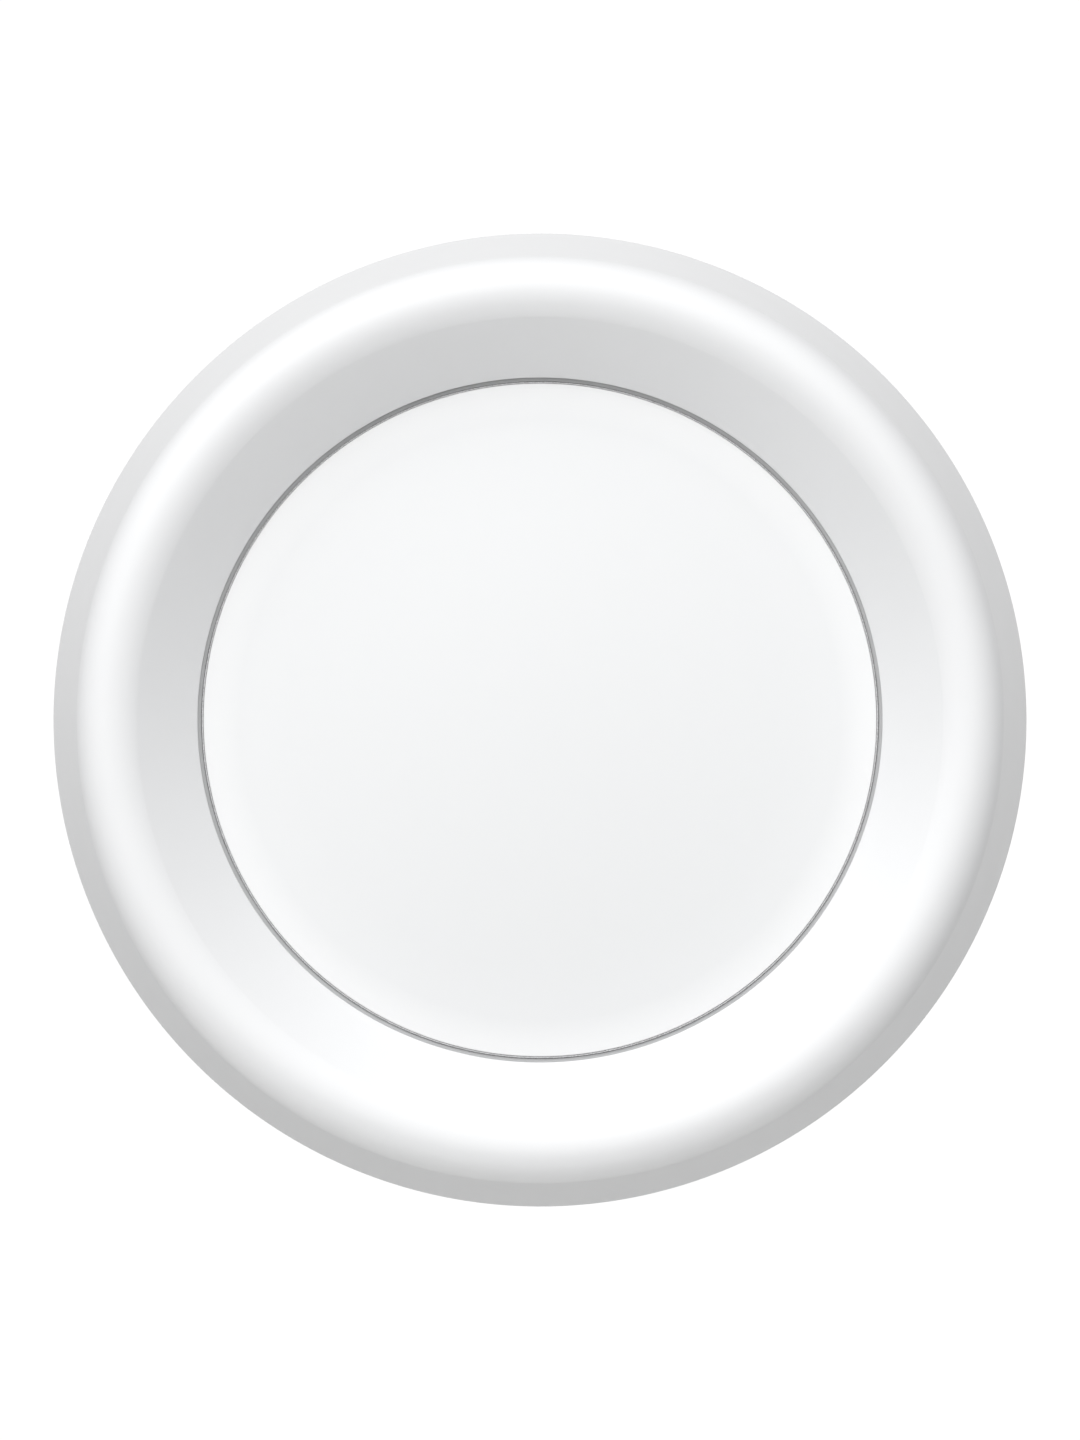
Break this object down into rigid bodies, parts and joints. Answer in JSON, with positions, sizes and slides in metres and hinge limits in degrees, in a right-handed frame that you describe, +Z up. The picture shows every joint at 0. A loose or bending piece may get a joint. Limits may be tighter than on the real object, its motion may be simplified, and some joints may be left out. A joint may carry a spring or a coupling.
{
  "type": "wall thermostat",
  "caption": "Round wall thermostat: white turning ring around a blank frosted face that presses in, on a display unit that pulls off a wall base with spring terminals.",
  "frame": {"origin": "centre of the two wall screw holes, on the base's wall face", "axes": "+Y out of the back into the wall, the face looks along -Y, +Z up, +X to the right seen from the front"},
  "size_m": [0.081, 0.027, 0.081],
  "materials": {
    "white_plastic": "fine matt texture",
    "ring_white": "satin gloss, moulded",
    "lens_white": "frosted, satin",
    "grey_frame": "matt",
    "bearing": "self-lubricating, matt",
    "gasket": "pale matt foam",
    "board_green": "solder mask",
    "black_plastic": "matt",
    "panel_glass": "glossy",
    "light_sheet": "satin",
    "holder": "matt",
    "terminal_plastic": "matt",
    "lever_plastic": "matt",
    "plated_brass": "gold plated",
    "buzzer_brass": "rolled",
    "buzzer_ceramic": "silvered",
    "spring_steel": "bright",
    "screw_steel": "zinc plated",
    "tin_plate": "tin plated",
    "battery_foil": "laminated foil",
    "pad_foam": "adhesive foam",
    "lead_red": "insulation",
    "flex_amber": "polyimide film",
    "vial_clear": "clear acrylic",
    "vial_liquid": "tinted liquid"
  },
  "bodies": {
    "base": {"base_plate": "white_plastic", "base_board": "board_green", "base_cover": "white_plastic", "cover_screws": "screw_steel", "base_parts": "black_plastic", "terminal_block_left": "terminal_plastic", "terminal_block_right": "terminal_plastic", "contact_bars": "plated_brass", "clamp_springs": "spring_steel", "base_socket": "black_plastic", "socket_contacts": "plated_brass", "level_vial": "vial_clear", "level_liquid": "vial_liquid", "latch_springs": "spring_steel"},
    "display_unit": {"rear_cover": "white_plastic", "rear_screws": "screw_steel", "mid_frame": "grey_frame", "main_board": "board_green", "board_plug": "black_plastic", "plug_pins": "plated_brass", "usb_port": "tin_plate", "battery": "battery_foil", "battery_pad": "pad_foam", "battery_leads": "lead_red", "processor": "black_plastic", "memory_chip": "black_plastic", "shield_can": "tin_plate", "power_parts": "black_plastic", "buzzer_plate": "buzzer_brass", "buzzer_disc": "buzzer_ceramic", "climate_sensor": "tin_plate", "ring_sensor": "black_plastic", "flex_socket": "holder", "switch_body": "black_plastic", "switch_dome": "spring_steel", "return_springs": "spring_steel", "guide_screws": "screw_steel"},
    "front_carriage": {"display_chassis": "grey_frame", "backlight": "light_sheet", "display_panel": "panel_glass", "panel_holder": "holder", "light_sensor": "black_plastic", "display_flex": "flex_amber", "lens_gasket": "gasket", "lens": "lens_white", "ring_bearing": "bearing"},
    "ring": {"dial_ring": "ring_white", "retaining_ring": "screw_steel", "encoder_ring": "black_plastic"},
    "switch_button": {"switch_plunger": "black_plastic"},
    "lever_1_body": {"lever_1": "lever_plastic"},
    "lever_2_body": {"lever_2": "lever_plastic"},
    "lever_3_body": {"lever_3": "lever_plastic"},
    "lever_4_body": {"lever_4": "lever_plastic"},
    "lever_5_body": {"lever_5": "lever_plastic"},
    "lever_6_body": {"lever_6": "lever_plastic"}
  },
  "joints": [
    {"name": "pull_off", "type": "slide", "parent": "base", "child": "display_unit", "axis": [0, -1, 0], "range_m": [0, 0.03], "deforming": ["latch_springs"]},
    {"name": "front_press", "type": "slide", "parent": "display_unit", "child": "front_carriage", "axis": [0, 1, 0], "range_m": [0, 0.0006], "stiffness_N_per_m": 4000, "springref_m": -0.0008, "deforming": ["return_springs", "display_flex", "switch_dome"]},
    {"name": "dial_turn", "type": "hinge", "parent": "front_carriage", "child": "ring", "pos_m": [0, 0, 0], "axis": [0, -1, 0], "continuous": true},
    {"name": "switch_press", "type": "slide", "parent": "display_unit", "child": "switch_button", "axis": [0, 1, 0], "range_m": [0, 0.0006]},
    {"name": "lever_1_press", "type": "slide", "parent": "base", "child": "lever_1_body", "axis": [0, 1, 0], "range_m": [0, 0.0012], "stiffness_N_per_m": 3000, "springref_m": -0.001, "deforming": ["clamp_springs"]},
    {"name": "lever_2_press", "type": "slide", "parent": "base", "child": "lever_2_body", "axis": [0, 1, 0], "range_m": [0, 0.0012], "stiffness_N_per_m": 3000, "springref_m": -0.001, "deforming": ["clamp_springs"]},
    {"name": "lever_3_press", "type": "slide", "parent": "base", "child": "lever_3_body", "axis": [0, 1, 0], "range_m": [0, 0.0012], "stiffness_N_per_m": 3000, "springref_m": -0.001, "deforming": ["clamp_springs"]},
    {"name": "lever_4_press", "type": "slide", "parent": "base", "child": "lever_4_body", "axis": [0, 1, 0], "range_m": [0, 0.0012], "stiffness_N_per_m": 3000, "springref_m": -0.001, "deforming": ["clamp_springs"]},
    {"name": "lever_5_press", "type": "slide", "parent": "base", "child": "lever_5_body", "axis": [0, 1, 0], "range_m": [0, 0.0012], "stiffness_N_per_m": 3000, "springref_m": -0.001, "deforming": ["clamp_springs"]},
    {"name": "lever_6_press", "type": "slide", "parent": "base", "child": "lever_6_body", "axis": [0, 1, 0], "range_m": [0, 0.0012], "stiffness_N_per_m": 3000, "springref_m": -0.001, "deforming": ["clamp_springs"]}
  ],
  "couplings": [
    {"joint": "switch_press", "follows": "front_press", "ratio": 1}
  ]
}
